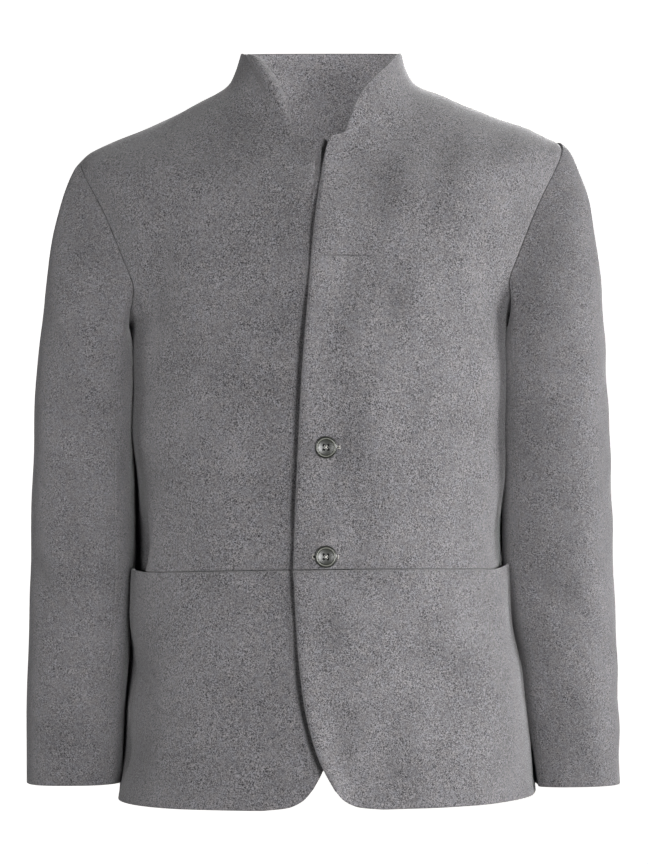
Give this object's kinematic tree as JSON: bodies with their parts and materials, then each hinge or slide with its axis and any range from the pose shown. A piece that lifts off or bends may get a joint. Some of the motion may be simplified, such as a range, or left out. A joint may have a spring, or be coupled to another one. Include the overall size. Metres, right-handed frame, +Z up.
{
  "type": "unstructured wool blazer",
  "caption": "Filled-out unstructured wool blazer with a tall stand collar, lapped buttoned front, waist seam with pocket mouths, cut-away skirt corners and long two-piece sleeves.",
  "frame": {"origin": "on the shoulders, midway between the two points where the shoulder seams run into the collar", "axes": "+Z up, the front faces -Y, the wearer's left side is +X"},
  "size_m": [0.572, 0.2871, 0.7199],
  "materials": {
    "wool_flannel": "grey melange wool flannel, milled, soft and matt",
    "dark_horn": "turned and polished dark horn"
  },
  "bodies": {
    "root": {"back": "wool_flannel", "collar": "wool_flannel", "front_left": "wool_flannel", "front_right": "wool_flannel", "skirt_left": "wool_flannel", "skirt_right": "wool_flannel", "pocket_left": "wool_flannel", "pocket_right": "wool_flannel", "sleeve_left_top_upper": "wool_flannel", "sleeve_left_top_lower": "wool_flannel", "sleeve_left_under": "wool_flannel", "sleeve_right_top_upper": "wool_flannel", "sleeve_right_top_lower": "wool_flannel", "sleeve_right_under": "wool_flannel", "button_upper": "dark_horn", "button_lower": "dark_horn"}
  },
  "joints": []
}
